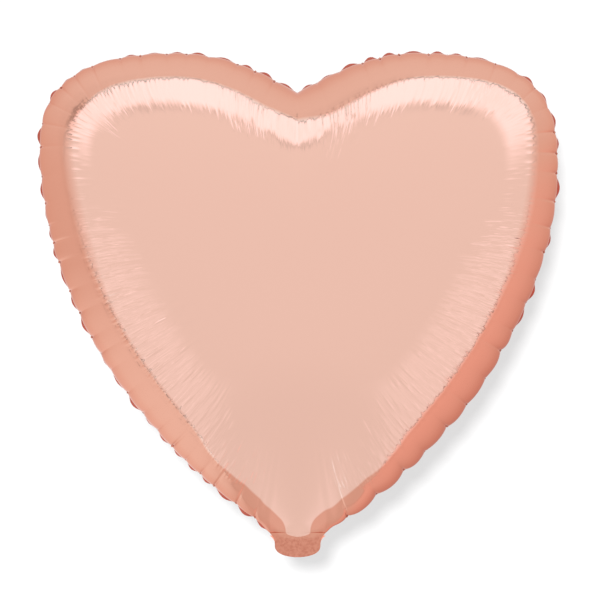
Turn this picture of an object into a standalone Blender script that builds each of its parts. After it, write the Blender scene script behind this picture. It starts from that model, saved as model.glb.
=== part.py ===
"""Heart-shaped foil balloon, inflated and upright.

Metres, +Z up, the front of the heart faces -Y. The origin is the middle of the neck, where the balloon
is tied and where its tail folds. The films are drawn thicker and further apart than real film, which is
about 0.045 mm: FILM is their thickness here and GAP the space between two that touch.
"""

import math

import bpy
import numpy as np
from mathutils import Matrix, Vector

# Driving dimensions.
HALF_WIDTH = 0.200
LOBE_TOP_Z = 0.372
LOBE_TOP_X = 0.092
CLEFT_Z = 0.342
WIDEST_Z = 0.300
HALF_DEPTH = 0.072
CENTRE_Z = 0.212
SEAL_WIDTH = 0.005
NECK_HALF_WIDTH = 0.0215
TAIL_HALF_WIDTH = 0.0175
TAIL_LENGTH = 0.017
VALVE_HALF_WIDTH = 0.012
FLAP_TOP_Z = 0.080

FILM = 0.0004
VALVE_FILM = 0.0003
GAP = 0.0003
VALVE_GAP = 0.0004

# The films lie in this order from the middle plane outwards: valve film, gap, foil film.
VALVE_Y = VALVE_GAP / 2 + VALVE_FILM / 2
FOIL_INNER_Y = VALVE_GAP / 2 + VALVE_FILM + GAP
FOIL_OUTER_Y = FOIL_INNER_Y + FILM
SEAL_HALF_THICKNESS = FOIL_INNER_Y - GAP

# Room round the tail's hinge, so that the tail clears the neck at 90 degrees.
HINGE_ROOM = FOIL_OUTER_Y + 2 * GAP
TAIL_TOP_Z = -0.0004
FLAP_HINGE_Z = HINGE_ROOM + 0.0040
FLAP_BOTTOM_Z = FLAP_HINGE_Z + 0.0002
NECK_FILM_TOP_Z = FLAP_HINGE_Z - 0.0003

# How finely the panels are divided.
LOBE_STEPS = 8
SHOULDER_STEPS = 9
SIDE_STEPS = 15
NECK_STEPS = 2
RINGS = 9
FLAT_SHARE = 0.16

PROFILE_POWER = 1.5


def clear_scene():
    for obj in list(bpy.data.objects):
        bpy.data.objects.remove(obj)


def parts_collection():
    collection = bpy.data.collections.new("heart_foil_balloon")
    bpy.context.scene.collection.children.link(collection)
    return collection


def principled(name, colour, metallic, roughness, alpha=1.0):
    material = bpy.data.materials.new(name)
    material.use_nodes = True
    shader = material.node_tree.nodes["Principled BSDF"]
    shader.inputs["Base Color"].default_value = (*colour, 1.0)
    shader.inputs["Metallic"].default_value = metallic
    shader.inputs["Roughness"].default_value = roughness
    shader.inputs["Alpha"].default_value = alpha
    return material


def bezier(start, first, second, end, steps):
    """Points of a cubic curve, its start included and its end left out."""
    t = (np.arange(steps) / steps)[:, None]
    corners = [np.array(point) for point in (start, first, second, end)]
    weights = [(1 - t) ** 3, 3 * (1 - t) ** 2 * t, 3 * (1 - t) * t**2, t**3]
    return sum(weight * corner for weight, corner in zip(weights, corners))


def half_outline():
    """The cut edge of the right half, (x, z), from the cleft over the lobe to the middle of the neck."""
    lobe = bezier((0, CLEFT_Z), (0.026, 0.353), (0.055, LOBE_TOP_Z), (LOBE_TOP_X, LOBE_TOP_Z), LOBE_STEPS)
    shoulder = bezier(
        (LOBE_TOP_X, LOBE_TOP_Z),
        (0.148, LOBE_TOP_Z),
        (HALF_WIDTH, 0.352),
        (HALF_WIDTH, WIDEST_Z),
        SHOULDER_STEPS,
    )
    side = bezier(
        (HALF_WIDTH, WIDEST_Z),
        (HALF_WIDTH, 0.200),
        (0.140, 0.095),
        (NECK_HALF_WIDTH, HINGE_ROOM),
        SIDE_STEPS,
    )
    neck_x = np.linspace(NECK_HALF_WIDTH, 0, NECK_STEPS + 1)
    neck = np.column_stack([neck_x, np.full(NECK_STEPS + 1, HINGE_ROOM)])
    return np.vstack([lobe, shoulder, side, neck])


def inset(outline, distance):
    """The half outline moved inwards, each corner mitred. The other half mirrors it at both ends."""
    mirror = np.array([-1, 1])
    padded = np.vstack([outline[1] * mirror, outline, outline[-2] * mirror])
    runs = np.diff(padded, axis=0)
    runs /= np.linalg.norm(runs, axis=1)[:, None]
    inward = np.column_stack([runs[:, 1], -runs[:, 0]])
    corner = inward[:-1] + inward[1:]
    corner /= np.linalg.norm(corner, axis=1)[:, None]
    reach = distance / np.sum(corner * inward[1:], axis=1)
    return outline + corner * reach[:, None]


def ring_points():
    """Rings of points on the right half: the cut edge, the seal's inner edge, then ever closer to the centre."""
    outline = half_outline()
    seal_edge = inset(outline, SEAL_WIDTH)
    centre = np.array([0, CENTRE_Z])
    angles = np.linspace(0, math.acos(FLAT_SHARE), RINGS)
    inner = [centre + math.cos(angle) * (seal_edge - centre) for angle in angles]
    rings = np.array([outline, *inner])
    rings[:, [0, -1], 0] = 0
    return rings


def ring_triangles(rings, columns, hub):
    """Triangles between the rings, and from the last ring to the hub."""
    faces = []
    for ring in range(rings - 1):
        for column in range(columns - 1):
            a = ring * columns + column
            faces.append((a, a + 1, a + columns))
            faces.append((a + 1, a + columns + 1, a + columns))
    last = (rings - 1) * columns
    faces.extend((last + column, last + column + 1, hub) for column in range(columns - 1))
    return faces


def membrane(points, triangles, held):
    """Heights of a soap film blown up over the flat shape, its held points at zero, the highest at one."""
    count = len(points)
    stiffness = np.zeros((count, count))
    load = np.zeros(count)
    for triangle in triangles:
        index = np.array(triangle)
        corners = points[index]
        edges = np.roll(corners, -2, axis=0) - np.roll(corners, -1, axis=0)
        area = abs(edges[0, 0] * edges[1, 1] - edges[0, 1] * edges[1, 0]) / 2
        stiffness[np.ix_(index, index)] += edges @ edges.T / (4 * area)
        load[index] += area / 3
    free = np.setdiff1d(np.arange(count), held)
    height = np.zeros(count)
    height[free] = np.linalg.solve(stiffness[np.ix_(free, free)], load[free])
    return height / height.max()


def ring_heights(rings):
    """How far each ring's points stand out from the seal's face: nothing on the seal, flat at the centre."""
    domed = rings[1:]
    columns = domed.shape[1]
    points = np.vstack([domed.reshape(-1, 2), [0, CENTRE_Z]])
    triangles = ring_triangles(len(domed), columns, len(points) - 1)
    film = membrane(points, triangles, np.arange(columns))[:-1].reshape(len(domed), columns)
    level = np.minimum(film / film[-1].min(), 1)
    level[-1] = 1
    rise = np.sqrt(1 - (1 - level) ** PROFILE_POWER) * (HALF_DEPTH - FOIL_OUTER_Y)
    return np.vstack([np.zeros(columns), rise])


def mesh_object(name, vertices, faces, material, collection):
    mesh = bpy.data.meshes.new(name)
    mesh.from_pydata([tuple(vertex) for vertex in vertices], [], faces)
    mesh.materials.append(material)
    mesh.shade_smooth()
    obj = bpy.data.objects.new(name, mesh)
    collection.objects.link(obj)
    return obj


def mirrored_shell(obj, thickness):
    """Adds the left half, then gives the surface its thickness on its inner side."""
    mirror = obj.modifiers.new("other_half", "MIRROR")
    mirror.use_clip = True
    mirror.merge_threshold = 0.00001
    solidify = obj.modifiers.new("film", "SOLIDIFY")
    solidify.thickness = thickness
    solidify.offset = -1
    solidify.use_even_offset = True


def make_panel(name, side, rings, heights, material, collection):
    """One foil panel: side is -1 for the front and +1 for the rear."""
    columns = rings.shape[1]
    depth = side * (FOIL_OUTER_Y + heights)
    vertices = np.stack([rings[..., 0], depth, rings[..., 1]], axis=-1).reshape(-1, 3)
    faces = []
    for ring in range(len(rings) - 1):
        for column in range(columns - 1):
            a = ring * columns + column
            faces.append((a, a + 1, a + columns + 1, a + columns))
    last = (len(rings) - 1) * columns
    faces.append(tuple(range(last, last + columns)))
    if side < 0:
        faces = [face[::-1] for face in faces]
    obj = mesh_object(name, vertices, faces, material, collection)
    mirrored_shell(obj, FILM)
    return obj


def make_perimeter_seal(rings, material, collection):
    """The fused band between the flanges, open at the neck."""
    columns = rings.shape[1] - NECK_STEPS
    edges = rings[:2, :columns]
    depth = np.full((2, columns), SEAL_HALF_THICKNESS)
    vertices = np.stack([edges[..., 0], depth, edges[..., 1]], axis=-1).reshape(-1, 3)
    faces = [(a, a + 1, a + columns + 1, a + columns) for a in range(columns - 1)]
    obj = mesh_object("perimeter_seal", vertices, faces, material, collection)
    mirrored_shell(obj, 2 * SEAL_HALF_THICKNESS)
    return obj


def flat_film(name, outline, depth, thickness, material, collection, pivot=None):
    """A flat film cut to an (x, z) outline and centred on y = depth. It turns with pivot, an empty."""
    curve = bpy.data.curves.new(name, "CURVE")
    curve.dimensions = "2D"
    curve.fill_mode = "BOTH"
    curve.extrude = thickness / 2
    spline = curve.splines.new("POLY")
    spline.points.add(len(outline) - 1)
    for point, (x, z) in zip(spline.points, outline):
        point.co = (x, z, 0, 1)
    spline.use_cyclic_u = True
    curve.materials.append(material)
    obj = bpy.data.objects.new(name, curve)
    obj.rotation_euler.x = math.pi / 2
    obj.location.y = depth
    collection.objects.link(obj)
    if pivot:
        obj.parent = pivot
        obj.matrix_parent_inverse = Matrix.Translation(-pivot.location)
    return obj


def hinge_pivot(name, z, collection):
    pivot = bpy.data.objects.new(name, None)
    pivot.empty_display_size = 0.01
    pivot.location = Vector((0, 0, z))
    collection.objects.link(pivot)
    return pivot


def tail_side():
    """The tail's right edge, (x, z), from the neck down to the middle of its rounded end."""
    flare = bezier(
        (NECK_HALF_WIDTH, TAIL_TOP_Z),
        (0.0190, -0.0020),
        (TAIL_HALF_WIDTH, -0.0040),
        (TAIL_HALF_WIDTH, -0.0070),
        4,
    )
    corner = bezier(
        (TAIL_HALF_WIDTH, -0.0070),
        (TAIL_HALF_WIDTH, -0.0140),
        (0.0090, -TAIL_LENGTH),
        (0, -TAIL_LENGTH),
        8,
    )
    return np.vstack([flare, corner])


def tail_outline():
    right = tail_side()
    left = right[::-1] * np.array([-1, 1])
    return np.vstack([right, [0, -TAIL_LENGTH], left])


def tail_seal_outline(side):
    """The fused band down one side of the tail. It stops where the tail rounds off, at the open inlet."""
    edge = tail_side()
    edge = edge[edge[:, 1] > -0.0120]
    inner = edge[::-1] - np.array([SEAL_WIDTH, 0])
    inner[:, 0] = np.maximum(inner[:, 0], VALVE_HALF_WIDTH + GAP)
    return np.vstack([edge, inner]) * np.array([side, 1])


def strip_outline(bottom, top):
    """A stretch of valve film between two heights."""
    w = VALVE_HALF_WIDTH
    return np.array([(-w, bottom), (w, bottom), (w, top), (-w, top)])


def make_tail(foil, sealant, collection):
    pivot = hinge_pivot("tail_hinge_axis", 0, collection)
    depth = FOIL_INNER_Y + FILM / 2
    for name, side in (("tail_front_layer", -1), ("tail_rear_layer", 1)):
        flat_film(name, tail_outline(), side * depth, FILM, foil, collection, pivot)
    for name, side in (("tail_seal_left", -1), ("tail_seal_right", 1)):
        thickness = 2 * SEAL_HALF_THICKNESS
        flat_film(name, tail_seal_outline(side), 0, thickness, sealant, collection, pivot)
    return pivot


def make_valve(clear, tail_pivot, collection):
    """Two clear films in three stretches: in the tail, welded in the neck, and free in the gas space."""
    tail_strip = strip_outline(0.0020 - TAIL_LENGTH, TAIL_TOP_Z)
    neck_strip = strip_outline(HINGE_ROOM, NECK_FILM_TOP_Z)
    flap = strip_outline(FLAP_BOTTOM_Z, FLAP_TOP_Z)
    for word, side in (("front", -1), ("rear", 1)):
        pivot = hinge_pivot(f"valve_{word}_hinge_axis", FLAP_HINGE_Z, collection)
        y = side * VALVE_Y
        flat_film(f"tail_valve_{word}_film", tail_strip, y, VALVE_FILM, clear, collection, tail_pivot)
        flat_film(f"neck_valve_{word}_film", neck_strip, y, VALVE_FILM, clear, collection)
        flat_film(f"inner_valve_{word}_film", flap, y, VALVE_FILM, clear, collection, pivot)


def main():
    clear_scene()
    collection = parts_collection()
    front_foil = principled("front_foil", (0.84, 0.52, 0.42), 1.0, 0.18)
    rear_foil = principled("rear_foil", (0.84, 0.52, 0.42), 1.0, 0.18)
    tail_foil = principled("tail_foil", (0.80, 0.46, 0.36), 1.0, 0.25)
    sealant = principled("heat_seal", (0.62, 0.26, 0.18), 0.6, 0.35)
    clear = principled("valve_film", (0.90, 0.90, 0.90), 0.0, 0.15, alpha=0.5)
    rings = ring_points()
    heights = ring_heights(rings)
    make_panel("front_panel", -1, rings, heights, front_foil, collection)
    make_panel("rear_panel", 1, rings, heights, rear_foil, collection)
    make_perimeter_seal(rings, sealant, collection)
    tail_pivot = make_tail(tail_foil, sealant, collection)
    make_valve(clear, tail_pivot, collection)


main()
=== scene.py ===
"""Looks of the heart-shaped foil balloon: two creased foil skins, their fused seam, and the film valve."""

import math

import bpy
import numpy as np
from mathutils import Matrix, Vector


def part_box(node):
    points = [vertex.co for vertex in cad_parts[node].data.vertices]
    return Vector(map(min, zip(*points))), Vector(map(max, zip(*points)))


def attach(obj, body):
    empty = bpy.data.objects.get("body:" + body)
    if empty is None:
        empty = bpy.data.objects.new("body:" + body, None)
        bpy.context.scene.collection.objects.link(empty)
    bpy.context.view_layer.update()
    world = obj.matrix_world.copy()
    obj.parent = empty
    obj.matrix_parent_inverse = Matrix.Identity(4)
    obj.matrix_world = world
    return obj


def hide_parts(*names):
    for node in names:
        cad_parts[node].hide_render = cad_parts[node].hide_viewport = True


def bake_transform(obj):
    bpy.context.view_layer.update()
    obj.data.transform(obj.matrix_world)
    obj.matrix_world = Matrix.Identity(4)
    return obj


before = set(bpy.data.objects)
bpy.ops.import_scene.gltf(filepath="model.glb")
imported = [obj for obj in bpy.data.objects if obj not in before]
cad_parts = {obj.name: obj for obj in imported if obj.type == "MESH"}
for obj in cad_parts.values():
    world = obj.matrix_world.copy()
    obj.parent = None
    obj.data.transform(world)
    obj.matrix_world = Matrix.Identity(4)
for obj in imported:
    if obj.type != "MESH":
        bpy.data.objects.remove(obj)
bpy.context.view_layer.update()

SEED = 11
rng = np.random.default_rng(SEED)

# Driving sizes, read from the frame, in metres.
panel_low, panel_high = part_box("front_panel")
tail_low, tail_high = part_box("tail_front_layer")
HALF_WIDTH = panel_high.x
TOP_Z = panel_high.z
NECK_Z = panel_low.z
HALF_DEPTH = -panel_low.y
NECK_HALF_WIDTH = tail_high.x
TAIL_END_Z = tail_low.z
NECK_FILM_Y = -(tail_low.y + tail_high.y) / 2

# The outline's curve points and their handles, as shares of the half width and of the height above the
# neck. A handle that lies level with its curve point, or straight above or below it, is one number.
CLEFT_SHARE = 0.9190
CLEFT_HANDLE = (0.13, 0.958)
LOBE_X_SHARE = 0.46
LOBE_HANDLES_X = (0.275, 0.775)
WIDEST_SHARE = 0.8055
WIDEST_HANDLES_Z = (0.955, 0.538)
SIDE_HANDLE = (0.73, 0.235)
CENTRE_SHARE = 0.5650

# How the outline is read: points round it, and how far its inward directions are evened out.
LOOP_POINTS = 6000
INWARD_BLUR = 0.007
CORNER_SOFTNESS = 0.012
CORNER_FADE = 0.05
WIDEST_PLACE = 0.45

# The seam: where it runs inside the cut edge, how far it strays from the middle plane, its flange, and the
# gap between a film and the middle plane there. Over LAYER_FADE in from the seam the films part, and the
# bumps grow narrower. The fused band's thickness is a share of the gap, and it ends short of the neck.
SEAM_INSET = 0.0030
SEAM_WOBBLE = 0.0010
WOBBLE_TURNS = (3, 5, 8, 13, 21, 34)
FLANGE_WIDTH = 0.0048
FLANGE_NARROWEST = 0.45
LAYER_GAP = 0.00018
LAYER_FADE = 0.030
BAND_SHARE = 0.4
BAND_END_COLUMNS = 6

# The flange's angle from the film's plane at its root and at its cut edge, in degrees: at a pinch, what
# the full side adds, and what is taken off in the middle of a bump where the flange stands open. Most
# bumps have a flare between these two, and on the full side it is only this share of that.
FLANGE_ROOT_ANGLES = (80, 22, 40)
FLANGE_EDGE_ANGLES = (94, 10, 34)
FLANGE_FLARES = (0.45, 1.0)
FLARE_CHANCE = 0.85
FULL_SIDE_FLARE = 0.1

# The pinches along the seam, the bumps between them, which overhang the seam less at the pinches, and the
# groove that runs in from each pinch.
PINCH_GAPS = (0.014, 0.024)
PINCH_DEPTHS = (0.0001, 0.0007)
BUMP_RISE = 0.0004
BUMP_REACH = 0.024
BUMP_BULGES = (0.7, 1.1)
PINCH_BULGE_SHARE = 0.75
OVERHANG = 0.0012
REAR_OVERHANG_SHARE = 0.1
OVERHANG_PEAK = 0.008
GROOVE_DEPTH = 0.0010
GROOVE_SHARES = (0.2, 1.2)
GROOVE_LENGTHS = (0.012, 0.034)
GROOVE_HALF_WIDTH = 0.0006

# The right side is fuller. Its outline stands further out from this share of the way round on, and its
# lower part has deeper pinches, longer bumps and a bigger bulge by these factors.
RIGHT_BULGE = 0.0040
RIGHT_BULGE_START = 0.17
RIGHT_BULGE_FADES = (0.10, 0.030)
FULL_SIDE_START = 0.30
FULL_SIDE_FADE = 0.05
FULL_SIDE_FACTOR = 5.0
FULL_SIDE_GAP_FACTOR = 1.3
FULL_SIDE_BULGE_FACTOR = 1.8

# The neck: how far the seam's details take to die out beside it, how far round it the skin tapers, along
# its middle line and at its corners, and how far round it the lines inwards fan out.
NECK_FADE = 0.010
NECK_REACH = 0.140
NECK_TAPERS = (1.3, 0.9)
NECK_CORNER_REACH = 0.040
NECK_FAN = 0.110

# The film turns to face forwards at this depth in from the seam. Outside it the film's colour is painted
# deeper, a painted reflection of the dim surroundings that the steep rim reflects. A depth is the distance
# along the film, scaled so that the turn comes at this value in every column.
TURN_DEPTH = 0.042
TURN_LIMITS = (0.030, 0.062)
TURN_BLUR = 0.006
TURN_NECK_FADE = 0.060

# How the edge of the painted rim reflection softens where the seam runs upright: where that starts, over
# what change in direction it grows, and how much.
SOFT_START = 0.85
SOFT_SPAN = 0.12
SOFTNESS = 0.72

# Near the neck the painted rim reflection goes by the straight distance from the seam, and its edge draws
# in.
NECK_PAINTED_REFLECTION_REACH = 0.110
NECK_TURN_DISTANCE = 0.0195
NECK_NARROW = 0.55
NECK_NARROW_START = 0.010
NECK_NARROW_REACH = 0.070
# The tab's colour is painted shade: a fixed depth on the painted rim colours. The tab's embossing fades in
# over the second distance.
TAB_PAINTED_SHADE_DEPTH = 0.012
TAB_FADE = 0.006

# Families of fine creases that run square to the seam, as (where they are, spacing along the seam,
# where they start, how long they are, how high they stand). Starts are depths in from the seam.
CREASE_FAMILIES = (
    ("all", 0.0040, (0.038, 0.044), (0.008, 0.020), (0.00014, 0.00050)),
    ("all", 0.0043, (0.050, 0.072), (0.008, 0.020), (0.00012, 0.00042)),
    ("all", 0.0110, (0.032, 0.042), (0.030, 0.056), (0.00008, 0.00030)),
    ("lower", 0.0031, (0.038, 0.041), (0.006, 0.010), (0.00018, 0.00042)),
    ("sides", 0.0062, (0.043, 0.045), (0.009, 0.012), (0.00024, 0.00036)),
)
CREASE_WIDTH_SHARES = (0.20, 0.30)
CREASE_WIDTHS = (0.0008, 0.0015)
CREASE_JITTER = 0.28
CREASE_SLANT = 0.03
CREASE_RISE_SHARE = 0.22
CREASE_FALL_SHARE = 0.4

# Where the creases show, by distance along the seam from the cleft: everywhere a little, more at these
# (place, spread, strength), more on the lower sides, and less at the middle of the sides.
CREASE_BASE = 0.35
CREASE_PEAKS = ((0.030, 0.030, 1.0), (0.170, 0.045, 0.6))
SIDE_MIDDLE = 0.245
SIDE_SPREAD = 0.045
SIDE_QUIET = 0.7
LOWER_START = 0.02
LOWER_SPAN = 0.08
LOWER_STRENGTH = 0.75
CREASE_NECK_FADE = 0.050

# The band of depths in which the film's fine streaks show: where they begin and where they die out.
STREAKS_BEGIN = (0.038, 0.005)
STREAKS_END = (0.055, 0.040)

# The one crease that runs down from the cleft.
CLEFT_CREASE = 0.0055
CLEFT_CREASE_WIDTH = 0.014
CLEFT_CREASE_PEAK = 0.025
CLEFT_CREASE_FADE = (0.8, 3.6)

# The tail: its straight width as a share of the neck's, the shares of its length over which it narrows to
# that and ends round, and the height and waves a metre of its crumples.
TAIL_STRAIGHT_SHARE = 0.815
TAIL_FLARE_SHARE = 0.16
TAIL_ROUND_SHARE = 0.50
CRUMPLE_HEIGHT = 0.00012
CRUMPLE_WAVES = (1900, 2300, 600)

# How finely the skins are divided. Columns crowd towards the pinches, and come in twelves, so that the
# inner rings can have a third and then a twelfth of them.
COLUMN = 0.00062
COLUMN_GROUP = 12
THINNED = 3
CROWDING = 0.32
RINGS = 76
FINE_RINGS = 44
MIDDLE_RINGS = 62
FLANGE_RINGS = 5
TAIL_ROWS = 26
FILM_COLUMNS = 96

# The inflated shape: its profile's power, the handles of the lines that run in from the seam, and the
# surface fitted to its middle, from this ring inwards, up to this power, to one column in so many.
PROFILE_POWER = 1.5
LINE_HANDLES = (0.40, 0.42)
FITTED_FIRST_RING = RINGS * 5 // 8
FITTED_POWER = 6
FITTED_STEP = 7

# The stage: a floor well below the balloon, a card close behind it, and the lamp that shades the card.
FLOOR_Z = TAIL_END_Z - 0.13
FLOOR_RADIUS = 0.9
CARD_WIDTH = 5 * HALF_WIDTH
CARD_HEIGHT = 2.2 * TOP_Z
CARD_Y = 1.25 * HALF_DEPTH
LAMP_STRENGTH = 9.0
LAMP_SPREAD = math.radians(9)
LAMP_DIRECTION = (0.11, 1.0, -0.19)

# The camera's view, as shares of the half width and of the height above the neck.
LENS = 200
VIEW_WIDTH_SHARE = 2.304
VIEW_CENTRE_SHARES = (0.009, 0.4852)

# The studio tent's brightness by direction, as (place, value) stops. TENT_BASE goes by how far a direction
# leans to the front, from -1 behind to 1 in front. The bright band starts at TENT_LINE, which TENT_CORNERS
# moves in the upper left and right: TENT_OUTER, the dark TENT_EDGE and the lower right's gradient go by
# the distance past that line. TENT_INNER and the dark TENT_INNER_EDGE end the band, and TENT_DEEPER moves
# them inwards below. TENT_DEEPER, the band's strength TENT_RISE and the dark edges' strengths TENT_SEAM
# and TENT_INNER_SEAM go by how far up a direction lies, from -1 to 1.
TENT_BASE = ((-1.0, 0.93), (0.0, 0.93), (0.08, 0.90), (1.0, 0.90))
TENT_LEAN = 0.02
TENT_LINE = 0.10
TENT_CORNERS = (0.30, -0.10)
TENT_EDGE = ((-1.0, 0.0), (-0.012, 0.0), (0.004, 1.0), (0.040, 1.0), (0.056, 0.0), (1.0, 0.0))
TENT_OUTER = ((-1.0, 0.0), (0.040, 0.0), (0.066, 1.0), (1.0, 1.0))
LOWER_RIGHT_START = 0.7
LOWER_RIGHT_GAIN = 1.9
LOWER_RIGHT_LEVEL = 0.25
TENT_LOWER_RIGHT = (
    (-1.0, 0.10),
    (-0.80, 0.18),
    (-0.45, 0.28),
    (-0.10, 0.34),
    (0.02, 0.34),
    (0.06, 0.25),
    (1.0, 0.25),
)
LOWER_LEFT_START = 0.25
LOWER_LEFT_GAIN = 4.0
LOWER_LEFT_LIGHT = 0.15
UPPER_LIGHT = 0.05
TENT_INNER = ((-1.0, 1.0), (0.56, 1.0), (0.64, 0.0), (1.0, 0.0))
TENT_INNER_EDGE = ((-1.0, 0.0), (0.61, 0.0), (0.64, 1.0), (0.66, 1.0), (0.70, 0.0), (1.0, 0.0))
TENT_DEEPER = ((-1.0, 0.22), (-0.40, 0.22), (0.0, 0.0), (1.0, 0.0))
TENT_RISE = (
    (-1.0, 0.0),
    (-0.93, 0.02),
    (-0.84, 0.08),
    (-0.72, 0.09),
    (-0.50, 0.06),
    (-0.36, 0.22),
    (-0.15, 0.0),
    (0.18, 0.0),
    (0.45, 0.34),
    (0.65, 0.42),
    (0.82, 0.27),
    (1.0, 0.44),
)
TENT_SEAM = (
    (-1.0, 0.05),
    (-0.80, 0.20),
    (-0.68, 0.65),
    (-0.50, 0.70),
    (-0.20, 0.12),
    (0.0, 0.0),
    (0.30, 0.15),
    (0.60, 0.60),
    (0.85, 0.55),
    (1.0, 0.35),
)
TENT_INNER_SEAM = ((-1.0, 0.0), (0.80, 0.0), (0.90, 0.22), (0.97, 0.10), (1.0, 0.06))

# Where the film turns to face forwards, as a frontness of what it reflects, and what is added on the left.
TURN_LINE = 0.18
TURN_LINE_LEFT = 0.12

# The tent's tints: the bright band's, and the outer part's from cool through plain to warm.
BAND_TINT = ((0.0, (1, 1, 1)), (0.5, (0.96, 1.0, 1.12)))
OUTER_TINT = ((0.0, (1.04, 1.22, 1.30)), (0.5, (1, 1, 1)), (1.0, (1.05, 0.77, 0.75)))
WARM_LOWER_RIGHT = 0.5
COOL_LOWER_LEFT = 0.8


# ---------------------------------------------------------------- the outline


def bezier(start, first, second, end, steps=900):
    """Points of a cubic curve, its start included and its end left out."""
    t = (np.arange(steps) / steps)[:, None]
    corners = [np.array(point, float) for point in (start, first, second, end)]
    weights = [(1 - t) ** 3, 3 * (1 - t) ** 2 * t, 3 * (1 - t) * t**2, t**3]
    return sum(weight * corner for weight, corner in zip(weights, corners))


def half_outline():
    """The cut edge of the right half, (x, z), from the cleft over the lobe to the middle of the neck."""

    def at(x_share, z_share):
        return x_share * HALF_WIDTH, z_share * TOP_Z

    cleft = at(0, CLEFT_SHARE)
    top = at(LOBE_X_SHARE, 1)
    widest = at(1, WIDEST_SHARE)
    corner = (NECK_HALF_WIDTH, NECK_Z)
    lobe = bezier(cleft, at(*CLEFT_HANDLE), at(LOBE_HANDLES_X[0], 1), top)
    shoulder = bezier(top, at(LOBE_HANDLES_X[1], 1), at(1, WIDEST_HANDLES_Z[0]), widest)
    side = bezier(widest, at(1, WIDEST_HANDLES_Z[1]), at(*SIDE_HANDLE), corner)
    thirds = [(NECK_HALF_WIDTH * 2 / 3, NECK_Z), (NECK_HALF_WIDTH / 3, NECK_Z)]
    neck = bezier(corner, *thirds, (0, NECK_Z))
    return np.vstack([lobe, shoulder, side, neck, [0, NECK_Z]])


def blurred(values, spacing, reach):
    """Gaussian blur of values that run round a closed loop."""
    frequency = np.fft.rfftfreq(len(values), spacing)
    gain = np.exp(-2 * (math.pi * reach * frequency) ** 2)
    return np.fft.irfft(np.fft.rfft(values, axis=0) * gain[:, None], len(values), axis=0)


class Outline:
    """The closed outline by arc length: 0 at the cleft, down the right, past the neck, up the left."""

    def __init__(self):
        half = half_outline()
        run = np.r_[0, np.cumsum(np.linalg.norm(np.diff(half, axis=0), axis=1))]
        self.half_length = run[-1]
        self.length = 2 * run[-1]
        self.neck_start = run[-1] - NECK_HALF_WIDTH
        self.places = np.arange(LOOP_POINTS) * self.length / LOOP_POINTS
        near = np.minimum(self.places, self.length - self.places)
        side = np.where(self.places > self.half_length, -1.0, 1.0)
        x = side * np.interp(near, run, half[:, 0])
        z = np.interp(near, run, half[:, 1])
        self.points = np.column_stack([x, z])
        spacing = self.length / LOOP_POINTS
        ahead = np.roll(self.points, -1, axis=0) - np.roll(self.points, 1, axis=0)
        inward = np.column_stack([ahead[:, 1], -ahead[:, 0]])
        inward = blurred(inward, spacing, INWARD_BLUR)
        inward = inward / np.linalg.norm(inward, axis=1)[:, None]
        middle = np.array([0, CENTRE_SHARE * TOP_Z]) - self.points
        middle = middle / np.linalg.norm(middle, axis=1)[:, None]
        fuller = smooth_step((self.places - RIGHT_BULGE_START * self.length) / RIGHT_BULGE_FADES[0])
        fuller = fuller * smooth_step((self.neck_start - self.places) / RIGHT_BULGE_FADES[1])
        self.points = self.points - inward * (RIGHT_BULGE * fuller)[:, None]
        self.soft_points = blurred(self.points, spacing, CORNER_SOFTNESS)
        near_neck = smooth_step(1 - np.abs(self.places - self.half_length) / NECK_FAN)[:, None]
        inward = inward * (1 - near_neck) + middle * near_neck
        self.inward = inward / np.linalg.norm(inward, axis=1)[:, None]

    def read(self, table, places):
        """Rows of a two-column table, kept by place round the outline, at these arc lengths."""
        columns = [np.interp(places, self.places, table[:, i], period=self.length) for i in range(2)]
        return np.column_stack(columns)

    def at(self, places):
        """(points on the cut edge, unit directions inwards) at these arc lengths."""
        inward = self.read(self.inward, places)
        return self.read(self.points, places), inward / np.linalg.norm(inward, axis=1)[:, None]

    def half_width_at(self, z):
        """Half the outline's width at heights below the widest place."""
        start = np.searchsorted(self.places, self.half_length * WIDEST_PLACE)
        end = np.searchsorted(self.places, self.neck_start)
        side = self.points[start:end][::-1]
        return np.interp(z, side[:, 1], side[:, 0])

    def neckness(self, places, fade=NECK_FADE):
        """1 across the neck, falling to 0 over a distance beside it."""
        beyond = np.abs(places - self.half_length) - NECK_HALF_WIDTH
        return smooth_step(1 - beyond / fade)


def smooth_step(value):
    """0 below 0, 1 above 1, and a smooth rise between."""
    value = np.clip(value, 0, 1)
    return value * value * (3 - 2 * value)


# ---------------------------------------------------------------- pinches along the seam


def full_side(outline, places):
    """1 on the lower right side, where bigger bumps of the skin hide the flange, and 0 elsewhere."""
    start = smooth_step((places - FULL_SIDE_START * outline.length) / FULL_SIDE_FADE)
    return start * (places < outline.half_length)


class Pinches:
    """Places where the seam is drawn in, with a bump of film between each two."""

    def __init__(self, outline):
        right = self.split(outline, FULL_SIDE_GAP_FACTOR)
        left = outline.length - self.split(outline, 1.0)[::-1]
        self.places = np.r_[right, left]
        count = len(self.places)
        self.neck = len(right) - 1
        self.depth = rng.uniform(*PINCH_DEPTHS, count)
        self.depth *= 1 + (FULL_SIDE_FACTOR - 1) * full_side(outline, self.places)
        self.groove = GROOVE_DEPTH * rng.uniform(*GROOVE_SHARES, count)
        self.groove_length = rng.uniform(*GROOVE_LENGTHS, count)
        self.flare = rng.uniform(*FLANGE_FLARES, count) * (rng.random(count) < FLARE_CHANCE)
        self.bulge = rng.uniform(*BUMP_BULGES, count)
        for table in (self.depth, self.groove):
            table[[self.neck, self.neck + 1]] = 0
            table[[0, -1]] = PINCH_DEPTHS[0] * 0.5

    @staticmethod
    def split(outline, full_factor):
        """Places from the cleft to the neck, with longer gaps on the full side by full_factor."""
        gaps = []
        while sum(gaps) < outline.neck_start:
            stretch = 1 + (full_factor - 1) * float(full_side(outline, sum(gaps)))
            gaps.append(rng.uniform(*PINCH_GAPS) * stretch)
        return np.r_[0, np.cumsum(gaps)] * outline.neck_start / sum(gaps)


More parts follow.
